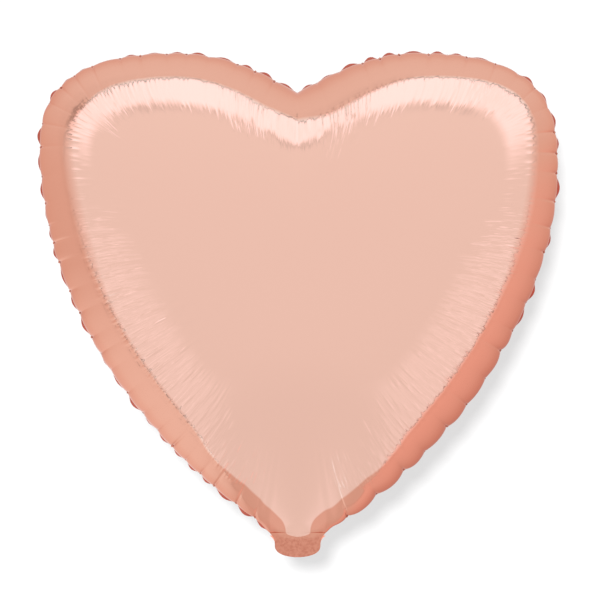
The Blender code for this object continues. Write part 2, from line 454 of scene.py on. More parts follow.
def column_places(outline, pinches):
    """Arc lengths of the columns, closer together at the pinches, and the bump each lies in."""
    places = []
    bump = []
    share = []
    stops = pinches.places
    for k in range(len(stops) - 1):
        gap = stops[k + 1] - stops[k]
        count = COLUMN_GROUP * max(1, round(gap / COLUMN / COLUMN_GROUP))
        u = np.arange(count) / count
        if k == pinches.neck:
            w = u
        else:
            w = u - CROWDING * np.sin(2 * math.pi * u) / (2 * math.pi)
        places.append(stops[k] + gap * w)
        bump.append(np.full(count, k))
        share.append(w)
    return np.concatenate(places), np.concatenate(bump), np.concatenate(share)


# ---------------------------------------------------------------- the smooth inflated shape


def lines_inward(outline, places, reach):
    """Curved lines from the seam to the middle: they leave the seam square to it.

    Returns an array [ring, column, (x, z)] for the shares of the way in reach.
    """
    edge, inward = outline.at(places)
    inset = inward * (SEAM_INSET * (1 - outline.neckness(places)))[:, None]
    corner = edge - outline.read(outline.soft_points, places)
    start = edge - corner + inset
    centre = np.array([0, CENTRE_SHARE * TOP_Z])
    span = np.linalg.norm(start - centre, axis=1)[:, None]
    first = start + inward * span * LINE_HANDLES[0]
    second = centre + (start - centre) * LINE_HANDLES[1]
    r = np.asarray(reach)[:, None, None]
    corners = [start, first, second, np.broadcast_to(centre, start.shape)]
    weights = [(1 - r) ** 3, 3 * (1 - r) ** 2 * r, 3 * (1 - r) * r**2, r**3]
    lines = sum(weight * point for weight, point in zip(weights, corners))
    return lines + corner * np.exp(-r / CORNER_FADE)


def ring_reach():
    """Shares of the way in: close together at the seam, where the skin stands up steeply."""
    return (np.arange(RINGS + 1) / RINGS) ** 2


def film_level(outline):
    """Height of a soap film over the heart, 0 at the seam and 1 at its top: [even ring, column].

    It is worked out on the right half and mirrored.
    """
    places = np.linspace(0, outline.half_length, FILM_COLUMNS + 1)
    rings = lines_inward(outline, places, ring_reach()[::2])[:-1]
    rings[:, [0, -1], 0] = 0
    ring_count, columns = rings.shape[:2]
    points = np.vstack([rings.reshape(-1, 2), [0, CENTRE_SHARE * TOP_Z]])
    hub = len(points) - 1
    ring, column = np.meshgrid(np.arange(ring_count - 1), np.arange(columns - 1), indexing="ij")
    a = (ring * columns + column).ravel()
    last = (ring_count - 1) * columns + np.arange(columns - 1)
    triangles = np.vstack(
        [
            np.column_stack([a, a + 1, a + columns]),
            np.column_stack([a + 1, a + columns + 1, a + columns]),
            np.column_stack([last, last + 1, np.full(columns - 1, hub)]),
        ]
    )
    corners = points[triangles]
    edges = np.roll(corners, -2, axis=1) - np.roll(corners, -1, axis=1)
    area = np.abs(edges[:, 0, 0] * edges[:, 1, 1] - edges[:, 0, 1] * edges[:, 1, 0]) / 2
    stiffness = np.zeros((len(points), len(points)))
    load = np.zeros(len(points))
    for i in range(3):
        np.add.at(load, triangles[:, i], area / 3)
        for j in range(3):
            share = np.sum(edges[:, i] * edges[:, j], axis=1) / (4 * area)
            np.add.at(stiffness, (triangles[:, i], triangles[:, j]), share)
    free = np.arange(columns, len(points))
    level = np.zeros(len(points))
    level[free] = np.linalg.solve(stiffness[np.ix_(free, free)], load[free])
    grid = np.vstack([level[:-1].reshape(ring_count, columns), np.full(columns, level[-1])])
    grid = grid / grid.max()
    return np.hstack([grid, grid[:, -2:0:-1]])


def cubic(table, where):
    """Reads rows of a table at fractional places along its first axis, smoothly."""
    last = len(table) - 1
    base = np.clip(np.floor(where).astype(int), 0, last - 1)
    f = (where - base).reshape(-1, *([1] * (table.ndim - 1)))
    before = table[np.clip(base - 1, 0, last)]
    here = table[base]
    after = table[base + 1]
    beyond = table[np.clip(base + 2, 0, last)]
    rise = (after - before) / 2
    next_rise = (beyond - here) / 2
    bend = 3 * (after - here) - 2 * rise - next_rise
    twist = 2 * (here - after) + rise + next_rise
    return here + f * (rise + f * (bend + f * twist))


def smooth_skin(outline, places):
    """The inflated shape without creases: points [ring, column, (x, z)] and heights [ring, column]."""
    level = film_level(outline)
    wrapped = np.hstack([level[:, -3:], level, level[:, :4]])
    columns = level.shape[1]
    where = places / outline.length * columns + 3
    by_column = cubic(wrapped.T, where).T
    by_ring = cubic(by_column, np.arange(RINGS + 1) / 2)
    flat = lines_inward(outline, places, ring_reach())
    filled = np.clip(by_ring, 0, 1)
    height = np.sqrt(1 - (1 - filled) ** PROFILE_POWER) * (HALF_DEPTH - NECK_FILM_Y)
    height = smooth_middle(flat, height)
    from_neck = np.hypot(flat[..., 0], flat[..., 1] - NECK_Z)
    near = np.minimum(from_neck / NECK_REACH, 1)
    off_axis = np.clip(np.abs(flat[..., 0]) / outline.half_width_at(flat[..., 1]), 0, 1)
    central = (1 - off_axis**2) ** 2
    corner = np.exp(-((from_neck / NECK_CORNER_REACH) ** 2))
    taper = NECK_TAPERS[0] * central + NECK_TAPERS[1] * (1 - central) * corner
    height = height * np.maximum(near * (2 - near), 1e-6) ** taper
    height = height - cleft_crease(flat)
    height[0] = 0
    return flat, height


def cleft_crease(flat):
    """Depth of the crease that runs down from the cleft, [ring, column]."""
    away = np.hypot(flat[..., 0], flat[..., 1] - CLEFT_SHARE * TOP_Z) / CLEFT_CREASE_PEAK
    valley = away * np.exp(1 - away) * np.exp(-np.abs(flat[..., 0]) / CLEFT_CREASE_WIDTH)
    start, span = CLEFT_CREASE_FADE
    return CLEFT_CREASE * valley * (1 - smooth_step((away - start) / span))


def smooth_middle(flat, height):
    """Replaces the inner rings' heights with one smooth curved surface fitted to them."""
    first = FITTED_FIRST_RING
    x = flat[first:, :, 0] / HALF_WIDTH
    z = flat[first:, :, 1] / HALF_WIDTH - CENTRE_SHARE * TOP_Z / HALF_WIDTH
    halves = range(FITTED_POWER // 2 + 1)
    powers = [(2 * i, j) for i in halves for j in range(FITTED_POWER + 1 - 2 * i)]
    terms = np.stack([x**i * z**j for i, j in powers], axis=-1)
    known = terms[:, ::FITTED_STEP].reshape(-1, len(powers))
    fitted = np.linalg.lstsq(known, height[first:, ::FITTED_STEP].ravel(), rcond=None)[0]
    weight = smooth_step((np.arange(first, RINGS + 1) - first) / (RINGS / 5))[:, None]
    smoothed = height.copy()
    smoothed[first:] = height[first:] * (1 - weight) + (terms @ fitted) * weight
    return smoothed


def distance_from_seam(flat, height):
    """Length along the skin from the seam, [ring, column]."""
    step = np.diff(np.dstack([flat, height]), axis=0)
    return np.vstack([np.zeros(flat.shape[1]), np.cumsum(np.linalg.norm(step, axis=2), axis=0)])


def surface_normals(points):
    """Unit normals of a grid [ring, column, xyz] that closes round its columns."""
    along = np.roll(points, -1, axis=1) - np.roll(points, 1, axis=1)
    across = np.gradient(points, axis=0)
    normal = np.cross(along, across)
    return normal / np.maximum(np.linalg.norm(normal, axis=2), 1e-12)[..., None]


# ---------------------------------------------------------------- creases


def bump_arch(share, power):
    """1 in the middle of a bump and 0 at its ends; a higher power is narrower."""
    return np.maximum(4 * share * (1 - share), 0) ** power


def groove_depth(outline, pinches, places, distance):
    """The sharp line that runs inwards from each pinch, [ring, column]."""
    depth = np.zeros_like(distance)
    for place, deep, length in zip(pinches.places, pinches.groove, pinches.groove_length):
        beside = np.abs(places - place)
        beside = np.minimum(beside, outline.length - beside)
        close = beside < 6 * GROOVE_HALF_WIDTH
        away = distance[:, close] / length
        width = GROOVE_HALF_WIDTH * (1 + away)
        depth[:, close] += deep * np.exp(-((beside[close] / width) ** 2)) * np.exp(-(away**2))
    return depth


def crease_strength(outline, places, where="all"):
    """How strongly a family of fine creases shows along the seam."""
    cleft = np.minimum(places, outline.length - places)
    sides = np.exp(-(((cleft - SIDE_MIDDLE) / SIDE_SPREAD) ** 2))
    lower = smooth_step((cleft - SIDE_MIDDLE - LOWER_START) / LOWER_SPAN)
    if where == "sides":
        strength = sides
    elif where == "lower":
        strength = lower
    else:
        strength = CREASE_BASE
        for place, spread, peak in CREASE_PEAKS:
            strength = strength + peak * np.exp(-(((cleft - place) / spread) ** 2))
        strength = (strength + LOWER_STRENGTH * lower) * (1 - SIDE_QUIET * sides)
    return strength * (1 - outline.neckness(places, CREASE_NECK_FADE))


def fine_creases(outline, places, distance):
    """Many narrow creases that run square to the seam, [ring, column], each of its own place and length."""
    relief = np.zeros_like(distance)
    for where, spacing, starts, lengths, heights in CREASE_FAMILIES:
        family = np.zeros_like(distance)
        count = int(outline.length / spacing)
        jitter = rng.uniform(-CREASE_JITTER, CREASE_JITTER, count)
        centre = (np.arange(count) + jitter) * outline.length / count
        first = rng.uniform(*starts, count)
        length = rng.uniform(*lengths, count)
        width = spacing * rng.uniform(*CREASE_WIDTH_SHARES, count)
        width = np.clip(width, *CREASE_WIDTHS)
        height = rng.uniform(*heights, count)
        slant = rng.normal(0, CREASE_SLANT, count)
        for i in range(count):
            signed = (places - centre[i] + outline.length / 2) % outline.length - outline.length / 2
            close = np.flatnonzero(np.abs(signed) < 4 * width[i] + 0.003)
            away = distance[:, close]
            u = (signed[close][None, :] - slant[i] * (away - first[i])) / width[i]
            v = (away - first[i]) / length[i]
            fall = smooth_step((v - 1 + CREASE_FALL_SHARE) / CREASE_FALL_SHARE)
            family[:, close] += height[i] * np.exp(-u * u) * smooth_step(v / CREASE_RISE_SHARE) * (1 - fall)
        relief += family * crease_strength(outline, places, where)
    return relief


def seam_wobble(outline, places):
    """How far the seam strays from the middle plane, by arc length."""
    wobble = np.zeros_like(places)
    for turns in WOBBLE_TURNS:
        phase = rng.uniform(0, 2 * math.pi)
        wobble += np.sin(2 * math.pi * turns * places / outline.length + phase) / turns**0.4
    return SEAM_WOBBLE * wobble / 2 * (1 - outline.neckness(places))


# ---------------------------------------------------------------- building the skins


def tail_half_width(z):
    """Half the tail's width at a height: it narrows below the neck and ends round."""
    straight = NECK_HALF_WIDTH * TAIL_STRAIGHT_SHARE
    flare = NECK_HALF_WIDTH - straight
    down = (NECK_Z - z) / (NECK_Z - TAIL_END_Z)
    width = straight + flare * np.exp(-((down / TAIL_FLARE_SHARE) ** 1.5))
    round_off = np.clip((down - 1 + TAIL_ROUND_SHARE) / TAIL_ROUND_SHARE, 0, 1)
    return width * np.sqrt(np.maximum(1 - round_off**2.6, 0.02))


def tail_rows(neck_x):
    """The tail's grid below the neck: [row, column, (x, z)]."""
    down = np.sin(np.linspace(0, math.pi / 2, TAIL_ROWS + 1)[1:])
    z = NECK_Z + (TAIL_END_Z - NECK_Z) * down
    x = neck_x[None, :] / NECK_HALF_WIDTH * tail_half_width(z)[:, None]
    return np.dstack([x, np.broadcast_to(z[:, None], x.shape)])


def grid_faces(first, second, close, flip):
    """Quads between two rows of vertex numbers."""
    a = np.asarray(first)
    b = np.asarray(second)
    if close:
        a = np.r_[a, a[0]]
        b = np.r_[b, b[0]]
    quads = np.column_stack([a[:-1], a[1:], b[1:], b[:-1]])
    return (quads[:, ::-1] if flip else quads).tolist()


def stitch_faces(fine, coarse, flip):
    """Triangles between a closed ring and one with fewer points, whose count divides the first's."""
    ratio = len(fine) // len(coarse)
    middle = ratio // 2
    faces = []
    for i, here in enumerate(coarse):
        beyond = coarse[(i + 1) % len(coarse)]
        run = [fine[(i * ratio + k) % len(fine)] for k in range(ratio + 1)]
        for k in range(ratio):
            faces.append((run[k], run[k + 1], here if k < middle else beyond))
        faces.append((run[middle], beyond, here))
    return [face[::-1] for face in faces] if flip else faces


def new_mesh(name, points, faces, seam, place=None):
    """A smooth-shaded object, with each point's depth in from the seam stored on it for its painted rim
    reflection and shade.

    place is each point's place along the seam and inwards, as a point on a tall cylinder, and then how
    strongly the film is creased there. That is below 0 on the tail, where the film is embossed.
    """
    mesh = bpy.data.meshes.new(name)
    mesh.from_pydata(points.tolist(), [], faces)
    mesh.shade_smooth()
    mesh.set_sharp_from_angle(angle=math.radians(65))
    attribute = mesh.attributes.new("seam_distance", "FLOAT", "POINT")
    attribute.data.foreach_set("value", np.asarray(seam, np.float32))
    if place is not None:
        attribute = mesh.attributes.new("seam_place", "FLOAT_VECTOR", "POINT")
        attribute.data.foreach_set("vector", place[:, :3].astype(np.float32).ravel())
        attribute = mesh.attributes.new("creasing", "FLOAT", "POINT")
        attribute.data.foreach_set("value", place[:, 3].astype(np.float32))
    obj = bpy.data.objects.new(name, mesh)
    bpy.context.scene.collection.objects.link(obj)
    return obj


class Seam:
    """Everything that the two skins and the fused band share, by column along the seam."""

    def __init__(self):
        self.outline = Outline()
        self.pinches = Pinches(self.outline)
        self.places, self.bump, self.share = column_places(self.outline, self.pinches)
        self.flat, self.height = smooth_skin(self.outline, self.places)
        self.distance = distance_from_seam(self.flat, self.height)
        self.depth = self.distance * TURN_DEPTH / self.turning_distance()
        self.inward = self.outline.at(self.places)[1]
        self.quiet = 1 - self.outline.neckness(self.places)
        self.wobble = seam_wobble(self.outline, self.places)
        self.groove = groove_depth(self.outline, self.pinches, self.places, self.distance)
        self.neck = np.flatnonzero(self.bump == self.pinches.neck)
        self.neck = np.r_[self.neck, self.neck[-1] + 1]
        # Painted reflection: this depth darkens the film's colour towards the seam.
        self.painted_reflection_depth = self.depth_of_painted_reflection()
        edge_shift = self.shift(np.zeros((1, len(self.places))), 0)[0]
        self.edge = self.flat[0] - self.inward * edge_shift[:, None]
        turn = self.places / self.outline.length * 2 * math.pi
        radius = self.outline.length / (2 * math.pi)
        self.round = np.column_stack([np.cos(turn), np.sin(turn)]) * radius
        self.creasing = crease_strength(self.outline, self.places)

    def place(self, columns, depth):
        """Rows of (cylinder point, creasing) for the columns at a depth in from the seam."""
        depth = np.broadcast_to(depth, self.places[columns].shape)
        begin = smooth_step((depth - STREAKS_BEGIN[0]) / STREAKS_BEGIN[1])
        finish = 1 - smooth_step((depth - STREAKS_END[0]) / STREAKS_END[1])
        strength = self.creasing[columns] * begin * finish
        return np.column_stack([self.round[columns], depth, strength])

    def depth_of_painted_reflection(self):
        """Depth in from the seam as the film's painted rim reflection goes by it, [ring, column].

        The painted reflection's edge is softer at the upright sides. Round the neck, which has no seal, the
        depth goes over to the one by straight distance.
        """
        sideways = smooth_step((np.abs(self.inward[:, 0]) - SOFT_START) / SOFT_SPAN)
        softened = TURN_DEPTH + (self.depth - TURN_DEPTH) * (1 - SOFTNESS * sideways)
        well_in = smooth_step(self.depth / (0.6 * TURN_DEPTH))
        depth = self.depth * (1 - well_in) + softened * well_in
        from_neck = np.hypot(self.flat[..., 0], self.flat[..., 1] - NECK_Z)
        weight = smooth_step((NECK_PAINTED_REFLECTION_REACH - from_neck) / (0.4 * NECK_PAINTED_REFLECTION_REACH))
        near = weight > 0
        straight = self.straight_depth(self.flat[near], from_neck[near])
        depth[near] = depth[near] * (1 - weight[near]) + straight * weight[near]
        return depth

    def straight_depth(self, flat, from_neck):
        """Depth by straight distance from the seam's two ends beside the neck, for points (x, z)."""
        beside = np.abs(self.outline.places - self.outline.half_length)
        ends = (beside > NECK_HALF_WIDTH) & (beside < 1.5 * NECK_PAINTED_REFLECTION_REACH)
        straight = np.full(len(flat), 1.0)
        for point in self.outline.points[ends][::5]:
            straight = np.minimum(straight, np.linalg.norm(flat - point, axis=1))
        reach = (from_neck + NECK_NARROW_START) / NECK_NARROW_REACH
        turn = NECK_TURN_DISTANCE * (NECK_NARROW + (1 - NECK_NARROW) * smooth_step(reach))
        return np.maximum(straight * TURN_DEPTH / turn, TAB_PAINTED_SHADE_DEPTH)

    def turning_distance(self):
        """Distance from the seam at which the film turns to face forwards, by column.

        It turns where the film stops reflecting the studio's outer part, so that the painted rim reflection
        in the colour and the real reflected light change at one line.
        """
        outward = -self.outline.at(self.places)[1]
        left = np.maximum(-outward[:, 0], 0)
        right = np.maximum(outward[:, 0], 0)
        corner = (TENT_CORNERS[0] * left + TENT_CORNERS[1] * right) * np.maximum(outward[:, 1], 0)
        limit = np.tan(np.arccos(TURN_LINE + TURN_LINE_LEFT * left + corner) / 2)
        run = np.linalg.norm(np.diff(self.flat, axis=0), axis=2)
        slope = np.diff(self.height, axis=0) / np.maximum(run, 1e-9)
        middle = (self.distance[1:] + self.distance[:-1]) / 2
        used = slice(3, FINE_RINGS)
        pairs = zip(limit, slope[used].T, middle[used].T)
        turn = np.array([np.interp(-at, -column, where) for at, column, where in pairs])
        outline = self.outline
        even = np.interp(outline.places, self.places, turn, period=outline.length)
        even = blurred(even[:, None], outline.length / LOOP_POINTS, TURN_BLUR)[:, 0]
        turn = np.interp(self.places, outline.places, even, period=outline.length)
        beyond = np.abs(self.places - outline.half_length) - NECK_HALF_WIDTH
        near = smooth_step(1 - beyond / TURN_NECK_FADE)
        return np.clip(turn, *TURN_LIMITS) * (1 - near) + TURN_DEPTH * near

    def shift(self, distance, overhang):
        """How far the skin moves outwards in its own plane: bumps between the pinches, [ring, column]."""
        depths = self.pinches.depth
        beyond = depths[(self.bump + 1) % len(depths)]
        depth = depths[self.bump] * (1 - self.share) + beyond * self.share
        fade = np.exp(-((distance / BUMP_REACH) ** 1.3))
        arch = bump_arch(self.share[None, :], 0.9 + 0.5 * smooth_step(distance / LAYER_FADE))
        rise = (BUMP_RISE + depth) * arch - depth
        factor = 1 + (FULL_SIDE_BULGE_FACTOR - 1) * full_side(self.outline, self.places)
        near = distance / OVERHANG_PEAK
        bulge = PINCH_BULGE_SHARE + (1 - PINCH_BULGE_SHARE) * bump_arch(self.share[None, :], 1.0)
        hang = overhang * self.pinches.bulge[self.bump] * factor * bulge * near * np.exp(1 - near)
        return (rise * fade + hang) * self.quiet

    def flange_points(self, offset):
        """The flange as rings from the seam out to the cut edge, [ring, column, xyz].

        offset is how far the layer lies along the flange's own normal. The flange folds back towards the
        rear: fully at the pinches, less at the middle of some bumps.
        """
        arch = bump_arch(self.share, 1.3)
        full = full_side(self.outline, self.places)
        open_share = self.pinches.flare[self.bump] * arch * (1 - (1 - FULL_SIDE_FLARE) * full)
        first, last = (
            np.radians(angle + on_full_side * full - opened * open_share)
            for angle, on_full_side, opened in (FLANGE_ROOT_ANGLES, FLANGE_EDGE_ANGLES)
        )
        width = FLANGE_WIDTH * self.quiet * (FLANGE_NARROWEST + (1 - FLANGE_NARROWEST) * arch)
        rings = []
        outward = np.zeros(len(self.places))
        back = np.zeros(len(self.places))
        for ring in range(FLANGE_RINGS + 1):
            angle = first + (last - first) * ring / FLANGE_RINGS
            if ring:
                middle = angle - (last - first) / (2 * FLANGE_RINGS)
                outward = outward + np.cos(middle) * width / FLANGE_RINGS
                back = back + np.sin(middle) * width / FLANGE_RINGS
            lift = offset * self.quiet
            out = outward + np.sin(angle) * lift
            y = back - np.cos(angle) * lift + self.wobble
            flat = self.edge - self.inward * out[:, None]
            rings.append(np.column_stack([flat[:, 0], y, flat[:, 1]]))
        return np.array(rings)


def skin_grid(seam, side):
    """One skin's dome as a grid [ring, column, xyz]. side is -1 for the front, 1 for the rear."""
    overhang = OVERHANG if side < 0 else REAR_OVERHANG_SHARE * OVERHANG
    shift = seam.shift(seam.distance, overhang)
    flat = seam.flat - seam.inward[None] * shift[..., None]
    fade = np.exp(-((seam.distance / LAYER_FADE) ** 2))
    layer = NECK_FILM_Y - (NECK_FILM_Y - LAYER_GAP) * seam.quiet * fade
    y = side * (layer + seam.height) + seam.wobble * fade
    points = np.dstack([flat[..., 0], y, flat[..., 1]])
    normal = surface_normals(points)
    outward = np.sign(normal[..., 1:2] * side + 1e-9)
    relief = fine_creases(seam.outline, seam.places, seam.depth) - seam.groove
    return points + normal * outward * relief[..., None]


def tail_grid(seam, side):
    """The skin's stretch below the neck, with the small crumples of a welded tab."""
    neck_x = seam.flat[0, seam.neck, 0]
    rows = tail_rows(neck_x)
    y = np.full(rows.shape[:2], side * NECK_FILM_Y)
    x = rows[..., 0]
    z = rows[..., 1]
    across, down, slanted = CRUMPLE_WAVES
    crumple = np.sin(x * across + 2) * np.sin(z * down + x * slanted)
    return np.dstack([x, y + side * CRUMPLE_HEIGHT * crumple, z])


def make_skin(name, seam, side):
    """Flange, dome and tail of one film as one sheet."""
    columns = len(seam.places)
    flip = side < 0
    dome = skin_grid(seam, side)
    flange = seam.flange_points(-side * LAYER_GAP)[1:]
    tail = tail_grid(seam, side)
    points = []
    distances = []
    marks = []
    rings = []

    def add(grid, distance, mark):
        first = sum(len(block) for block in points)
        points.append(grid)
        distances.append(distance)
        marks.append(mark)
        return np.arange(first, first + len(grid))

    picks = [(ring, 1) for ring in range(FINE_RINGS + 1)]
    picks += [(ring, THINNED) for ring in range(FINE_RINGS + 2, MIDDLE_RINGS + 1, 2)]
    picks += [(ring, COLUMN_GROUP) for ring in range(MIDDLE_RINGS + 2, RINGS, 2)]
    for ring, step in picks:
        every = slice(None, None, step)
        mark = seam.place(every, seam.depth[ring, every])
        rings.append(add(dome[ring, every], seam.painted_reflection_depth[ring, every], mark))
    faces = []
    for first, second in zip(rings, rings[1:]):
        if len(first) == len(second):
            faces += grid_faces(first, second, True, flip)
        else:
            faces += stitch_faces(list(first), list(second), flip)
    first = slice(0, 1)
    mark = seam.place(first, seam.depth[RINGS, first])
    hub = add(dome[RINGS, first], seam.painted_reflection_depth[RINGS, first], mark)[0]
    inner = rings[-1]
    fan = [(inner[i], inner[(i + 1) % len(inner)], hub) for i in range(len(inner))]
    faces += [face[::-1] for face in fan] if flip else fan

    outside = np.r_[np.arange(seam.neck[-1], columns), np.arange(seam.neck[0] + 1)]
    above = rings[0][outside]
    for ring in range(FLANGE_RINGS):
        width = FLANGE_WIDTH * (ring + 1) / FLANGE_RINGS
        row = add(flange[ring, outside], np.full(len(outside), -width), seam.place(outside, -width))
        faces += grid_faces(row, above, False, flip)
        above = row
    above = rings[0][seam.neck]
    for row_points in tail:
        tab = smooth_step((NECK_Z - row_points[:, 2]) / TAB_FADE)
        mark = seam.place(seam.neck, 0.0)
        mark[:, 3] = -tab
        # Painted shade on the tab: its colour goes over to a fixed depth on the painted rim colours.
        distance = seam.painted_reflection_depth[0, seam.neck] * (1 - tab) + TAB_PAINTED_SHADE_DEPTH * tab
        row = add(row_points, distance, mark)
        faces += grid_faces(row, above, False, flip)
        above = row
    faces = [tuple(int(i) for i in face) for face in faces]
    return new_mesh(name, np.vstack(points), faces, np.concatenate(distances), np.vstack(marks))


def make_seam_band(seam):
    """The fused sealing layers between the two flanges, as a thin closed strip open at the neck."""
    columns = len(seam.places)
    outside = np.r_[np.arange(seam.neck[-1], columns), np.arange(seam.neck[0] + 1)]
    outside = outside[BAND_END_COLUMNS:-BAND_END_COLUMNS]
    thin = LAYER_GAP * BAND_SHARE
    front = seam.flange_points(thin)[:, outside]
    rear = seam.flange_points(-thin)[::-1, outside]
    loop = np.concatenate([front, rear])
    across = len(loop)
    count = loop.shape[1]
    faces = []
    for ring in range(across):
        here = ring * count + np.arange(count)
        beyond = ((ring + 1) % across) * count + np.arange(count)
        faces += grid_faces(here, beyond, False, True)
    start = [ring * count for ring in range(across)]
    faces.append(start)
    faces.append([number + count - 1 for number in reversed(start)])
    points = loop.reshape(-1, 3)
    return new_mesh("seam_band", points, faces, np.full(len(points), -FLANGE_WIDTH))


# ---------------------------------------------------------------- materials


class Signal:
    """A node's output as a value: sums with numbers and other signals add nodes to its tree."""

    def __init__(self, tree, output):
        self.tree = tree
        self.output = output

    def into(self, socket):
        self.tree.links.new(self.output, socket)

    def combined(self, operation, other):
        node = self.tree.nodes.new("ShaderNodeMath")
        node.operation = operation
        self.into(node.inputs[0])
        if isinstance(other, Signal):
            other.into(node.inputs[1])
        else:
            node.inputs[1].default_value = other
        return Signal(self.tree, node.outputs["Value"])

    def __add__(self, other):
        return self.combined("ADD", other)

    def __sub__(self, other):
        return self.combined("SUBTRACT", other)

    def __mul__(self, other):
        return self.combined("MULTIPLY", other)

    def __truediv__(self, other):
        return self.combined("DIVIDE", other)

    def at_least(self, low):
        return self.combined("MAXIMUM", low)

    def at_most(self, high):
        return self.combined("MINIMUM", high)

    def rest(self):
        """What is missing to 1."""
        return self * -1 + 1

    def stretched(self, low, high, to_low, to_high):
        """From one range to another, held at its ends."""
        node = self.tree.nodes.new("ShaderNodeMapRange")
        names = ("From Min", "From Max", "To Min", "To Max")
        for name, value in zip(names, (low, high, to_low, to_high)):
            node.inputs[name].default_value = value
        self.into(node.inputs["Value"])
        return Signal(self.tree, node.outputs["Result"])

    def coloured(self, stops):
        """A colour read from stops of (place from 0 to 1, colour)."""
        node = self.tree.nodes.new("ShaderNodeValToRGB")
        elements = node.color_ramp.elements
        while len(elements) < len(stops):
            elements.new(0.5)
        for element, (place, colour) in zip(elements, stops):
            element.position = place
            element.color = (*colour, 1)
        self.into(node.inputs["Fac"])
        return Signal(self.tree, node.outputs["Color"])

    def curve(self, stops):
        """A value read from stops of (place from -1 to 1, value up to 2)."""
        greys = [((place + 1) / 2, (value / 2,) * 3) for place, value in stops]
        return self.stretched(-1, 1, 0, 1).coloured(greys) * 2.0

    def relief(self, shader, strength, distance):
        """Makes the value a fine relief of a shader's surface."""
        node = self.tree.nodes.new("ShaderNodeBump")
        node.inputs["Strength"].default_value = strength
        node.inputs["Distance"].default_value = distance
        self.into(node.inputs["Height"])
        self.tree.links.new(node.outputs["Normal"], shader.inputs["Normal"])


def tinted(first, second, share=1.0):
    """The first colour multiplied by the second, which counts as much as share, a number or a signal."""
    node = first.tree.nodes.new("ShaderNodeMix")
    node.data_type = "RGBA"
    node.blend_type = "MULTIPLY"
    if isinstance(share, Signal):
        share.into(node.inputs["Factor"])
    else:
        node.inputs["Factor"].default_value = share
    first.into(node.inputs["A"])
    second.into(node.inputs["B"])
    return Signal(first.tree, node.outputs["Result"])


def stored(tree, name, output="Fac"):
    """What the mesh stores under a name."""
    node = tree.nodes.new("ShaderNodeAttribute")
    node.attribute_name = name
    return Signal(tree, node.outputs[output])


def noise(tree, scale, detail=3.0, roughness=0.5, place=None):
    """Noise with about scale features a metre, by object place or another vector signal."""
    node = tree.nodes.new("ShaderNodeTexNoise")
    node.inputs["Scale"].default_value = scale
    node.inputs["Detail"].default_value = detail
    node.inputs["Roughness"].default_value = roughness
    if place is None:
        place = Signal(tree, tree.nodes.new("ShaderNodeTexCoord").outputs["Object"])
    place.into(node.inputs["Vector"])
    return Signal(tree, node.outputs["Fac"])


def new_material(name):
    """A new material, its node tree and its shader."""
    material = bpy.data.materials.new(name)
    material.use_nodes = True
    tree = material.node_tree
    return material, tree, tree.nodes["Principled BSDF"]


# The film is one rose-gold colour, FOIL. The deeper colours below are painted reflection and painted shade:
# they darken the film towards the seam and on the flange, in place of the dim surroundings that the steep
# rim reflects.
FOIL = (0.93, 0.575, 0.468)
FOIL_RIM_PAINTED_REFLECTION = (0.78, 0.355, 0.250)
FOIL_DEEP_PAINTED_REFLECTION = (0.71, 0.268, 0.182)
FLANGE_PAINTED_SHADE = (0.50, 0.110, 0.075)
REAR_FLANGE_PAINTED_SHADE = (0.66, 0.230, 0.160)
FOIL_SHEEN = (0.90, 0.68, 0.62)
EMBOSSED_TINT = (0.76, 0.60, 0.56)
SEAL_STOPS = ((0.3, (0.50, 0.16, 0.10)), (0.7, (0.62, 0.24, 0.16)))
CLEAR_STOPS = ((0.3, (0.86, 0.87, 0.88)), (0.7, (0.95, 0.95, 0.95)))

# The range of depths in from the seam that the painted rim reflection's colour stops cover.
FOIL_DEPTHS = (-0.005, 0.075)


def foil_material(name, edge, satin_edge):
    """Rose-gold metallised film: mirror bright, with painted reflection that deepens its colour towards the
    seam.

    edge is the painted shade colour of the sealed flange, which is duller than the rest if satin_edge is
    set.
    """
    material, tree, shader = new_material(name)
    depth = stored(tree, "seam_distance")
    creasing = stored(tree, "creasing")
    # Painted reflection and shade: the colour goes from the flange's dark colour through deeper rim colours
    # to the film's own colour, by depth in from the seam.
    stops = (
        (0.00, edge),
        (0.055, edge),
        (0.07, FOIL_DEEP_PAINTED_REFLECTION),
        (0.35, FOIL_RIM_PAINTED_REFLECTION),
        (0.575, FOIL_RIM_PAINTED_REFLECTION),
        (0.615, FOIL),
    )
    colour = depth.stretched(*FOIL_DEPTHS, 0.0, 1.0).coloured(stops)
    grain = noise(tree, 520.0).coloured(((0.35, EMBOSSED_TINT), (0.60, (1.0, 1.0, 1.0))))
    embossed = creasing.stretched(-1, 0, 0.6, 0)
    tinted(colour, grain, embossed).into(shader.inputs["Base Color"])
    if satin_edge:
        depth.stretched(0.0, 0.004, 0.15, 1.0).into(shader.inputs["Metallic"])
    else:
        shader.inputs["Metallic"].default_value = 1.0
    noise(tree, 28.0).stretched(0.3, 0.7, 0.07, 0.12).into(shader.inputs["Roughness"])
    shader.inputs["Specular Tint"].default_value = (*FOIL_SHEEN, 1)
    add_foil_relief(tree, shader, creasing)
    return material


def add_foil_relief(tree, shader, creasing):
    """Hair-fine streaks square to the seam where the film is creased, and the tab's embossed grain."""
    stretch = tree.nodes.new("ShaderNodeMapping")
    stretch.inputs["Scale"].default_value = (1, 1, 0.07)
    stored(tree, "seam_place", "Vector").into(stretch.inputs["Vector"])
    place = Signal(tree, stretch.outputs["Vector"])
    streaks = noise(tree, 620.0, detail=2.0, roughness=0.6, place=place) * creasing.at_least(0.0)
    pits = noise(tree, 900.0) * (creasing * -1.0).at_least(0.0)
    (streaks + pits).relief(shader, 1.0, 0.00030)


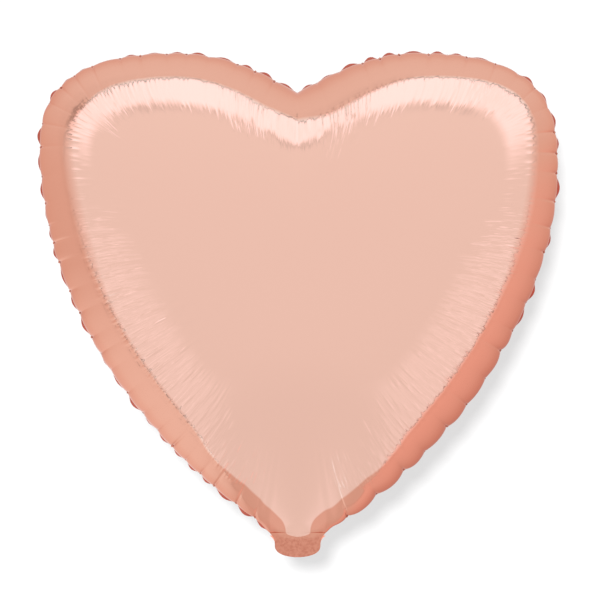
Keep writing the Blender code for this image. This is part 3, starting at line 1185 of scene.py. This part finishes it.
def seal_material():
    """The fused sealing layers: dull, deep and faintly speckled."""
    material, tree, shader = new_material("fused_seal")
    speckle = noise(tree, 900.0)
    speckle.coloured(SEAL_STOPS).into(shader.inputs["Base Color"])
    shader.inputs["Metallic"].default_value = 0.6
    speckle.stretched(0.3, 0.7, 0.25, 0.45).into(shader.inputs["Roughness"])
    speckle.relief(shader, 0.3, 0.0002)
    return material


def valve_material():
    """Clear film, a little hazy."""
    material, tree, shader = new_material("clear_valve_film")
    haze = noise(tree, 120.0)
    haze.coloured(CLEAR_STOPS).into(shader.inputs["Base Color"])
    haze.stretched(0.3, 0.7, 0.10, 0.30).into(shader.inputs["Roughness"])
    shader.inputs["Alpha"].default_value = 0.6
    haze.relief(shader, 0.2, 0.0003)
    return material


def card_material():
    """White on the card's front and clear on its back."""
    material, tree, shader = new_material("white_card_surface")
    shader.inputs["Base Color"].default_value = (0.12, 0.12, 0.12, 1)
    shader.inputs["Roughness"].default_value = 1.0
    shader.inputs["Specular IOR Level"].default_value = 0.0
    shader.inputs["Emission Color"].default_value = (1, 1, 1, 1)
    shader.inputs["Emission Strength"].default_value = 0.62
    geometry = tree.nodes.new("ShaderNodeNewGeometry")
    clear = tree.nodes.new("ShaderNodeBsdfTransparent")
    mix = tree.nodes.new("ShaderNodeMixShader")
    tree.links.new(geometry.outputs["Backfacing"], mix.inputs["Fac"])
    tree.links.new(shader.outputs["BSDF"], mix.inputs[1])
    tree.links.new(clear.outputs["BSDF"], mix.inputs[2])
    tree.links.new(mix.outputs["Shader"], tree.nodes["Material Output"].inputs["Surface"])
    return material


def floor_material():
    """Plain, pale and dull."""
    material, tree, shader = new_material("pale_floor")
    shader.inputs["Base Color"].default_value = (0.90, 0.90, 0.90, 1)
    shader.inputs["Roughness"].default_value = 0.9
    return material


# ---------------------------------------------------------------- stage, light and camera


def make_floor():
    """A pale floor well below the balloon, which hangs free."""
    bpy.ops.mesh.primitive_circle_add(vertices=96, radius=FLOOR_RADIUS, fill_type="NGON")
    floor = bpy.context.object
    floor.name = "studio_floor"
    floor.location = (0, 0, FLOOR_Z)
    floor.visible_glossy = False
    floor.data.materials.append(floor_material())


def make_backdrop():
    """A white card close behind the balloon, seen from the front only: it takes the soft shadow."""
    bpy.ops.mesh.primitive_plane_add(size=1)
    card = bpy.context.object
    card.name = "white_card"
    card.scale = (CARD_WIDTH, CARD_HEIGHT, 1)
    card.rotation_euler = (math.pi / 2, 0, 0)
    card.location = (0, CARD_Y, FLOOR_Z + CARD_HEIGHT / 2)
    for ray in ("glossy", "diffuse", "shadow", "transmission"):
        setattr(card, "visible_" + ray, False)
    card.data.materials.append(card_material())


def make_world():
    """A studio tent: even light in front, a bright band overhead, softer ones below, and plain behind.

    The tent is described by direction. frontness is 1 towards the front and -1 behind. upness is 1 where
    a direction leaves the front axis upwards and -1 where it leaves it downwards. What the camera sees
    of the tent itself is plain white.
    """
    world = bpy.data.worlds.new("studio")
    world.use_nodes = True
    bpy.context.scene.world = world
    tree = world.node_tree
    background = tree.nodes["Background"]
    split = tree.nodes.new("ShaderNodeSeparateXYZ")
    tree.links.new(tree.nodes.new("ShaderNodeTexCoord").outputs["Generated"], split.inputs["Vector"])
    x, y, z = (Signal(tree, split.outputs[axis]) for axis in "XYZ")
    squared = x * x + z * z + 0.0001
    length = squared.combined("SQRT", 0)
    frontness = z * TENT_LEAN - y
    upness = z / length
    lower_right = (((x - z) / length - LOWER_RIGHT_START) * LOWER_RIGHT_GAIN).at_least(0.0)
    lower_left = (x.at_most(0.0) * z.at_most(0.0) / squared - LOWER_LEFT_START) * LOWER_LEFT_GAIN
    lower_left = lower_left.at_least(0.0).at_most(1.0)
    corners = (x.at_most(0.0) * -TENT_CORNERS[0] + x.at_least(0.0) * TENT_CORNERS[1]) * z.at_least(0.0)
    past_line = frontness - corners - TENT_LINE
    deeper = frontness - upness.curve(TENT_DEEPER)
    inside = past_line.curve(TENT_OUTER)
    outside = inside.rest()
    panel = inside * deeper.curve(TENT_INNER) * upness.curve(TENT_RISE)

    light = frontness.curve(TENT_BASE) + panel
    light = light - past_line.curve(TENT_EDGE) * upness.curve(TENT_SEAM)
    light = light - deeper.curve(TENT_INNER_EDGE) * upness.curve(TENT_INNER_SEAM)
    light = light + lower_right * (past_line.curve(TENT_LOWER_RIGHT) - LOWER_RIGHT_LEVEL)
    light = light + lower_left * outside * LOWER_LEFT_LIGHT + z * UPPER_LIGHT
    seen = Signal(tree, tree.nodes.new("ShaderNodeLightPath").outputs["Is Camera Ray"])
    hidden = seen.rest()
    (light * hidden + seen).into(background.inputs["Strength"])

    warmth = lower_right * WARM_LOWER_RIGHT - z.at_least(0.0) - lower_left * COOL_LOWER_LEFT
    warmth = warmth * outside * hidden * 0.5 + 0.5
    band_tint = (panel * hidden).coloured(BAND_TINT)
    tinted(band_tint, warmth.coloured(OUTER_TINT)).into(background.inputs["Color"])


def make_lights():
    """A soft lamp near the camera, up and to its left, for the shadow on the card behind."""
    lamp = bpy.data.lights.new("shadow_lamp", "SUN")
    lamp.energy = LAMP_STRENGTH
    lamp.angle = LAMP_SPREAD
    obj = bpy.data.objects.new("shadow_lamp", lamp)
    obj.rotation_euler = Vector(LAMP_DIRECTION).to_track_quat("-Z", "Y").to_euler()
    obj.visible_glossy = False
    bpy.context.scene.collection.objects.link(obj)


def make_camera():
    """Straight on from the front with a long lens, centred on the balloon."""
    data = bpy.data.cameras.new("front_camera")
    data.lens = LENS
    data.dof.use_dof = False
    camera = bpy.data.objects.new("front_camera", data)
    distance = HALF_WIDTH * VIEW_WIDTH_SHARE * data.lens / data.sensor_width
    x_share, z_share = VIEW_CENTRE_SHARES
    camera.location = (HALF_WIDTH * x_share, -distance, TOP_Z * z_share)
    camera.rotation_euler = (math.pi / 2, 0, 0)
    bpy.context.scene.collection.objects.link(camera)
    bpy.context.scene.camera = camera


# ---------------------------------------------------------------- the whole scene


def dress_skin(name, seam, side, nodes):
    """One film's skin, in place of its panel and its layer of the tail."""
    skin = make_skin(name, seam, side)
    rear = side > 0
    # Painted shade: the front flange is coloured darker than the rear one.
    edge = REAR_FLANGE_PAINTED_SHADE if rear else FLANGE_PAINTED_SHADE
    skin.data.materials.append(foil_material(name + "_foil", edge, rear))
    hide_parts(*nodes)
    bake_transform(skin)


def dress_band(seam, seal):
    """The fused band between the flanges."""
    band = make_seam_band(seam)
    band.data.materials.append(seal)
    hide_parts("perimeter_seal")
    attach(band, "balloon")


def dress_small_parts(seal):
    """Surfaces for the nodes that keep their own shape: the valve's films and the tail's side seals."""
    clear = valve_material()
    for name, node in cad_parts.items():
        if "valve" in name:
            node.data.materials[0] = clear
        elif "tail_seal" in name:
            node.data.materials[0] = seal


def main():
    make_camera()
    seam = Seam()
    dress_skin("front_skin", seam, -1, ("front_panel", "tail_front_layer"))
    dress_skin("rear_skin", seam, 1, ("rear_panel", "tail_rear_layer"))
    seal = seal_material()
    dress_band(seam, seal)
    dress_small_parts(seal)
    make_world()
    make_lights()
    make_floor()
    make_backdrop()
    bpy.context.scene.view_settings.view_transform = "Standard"


main()
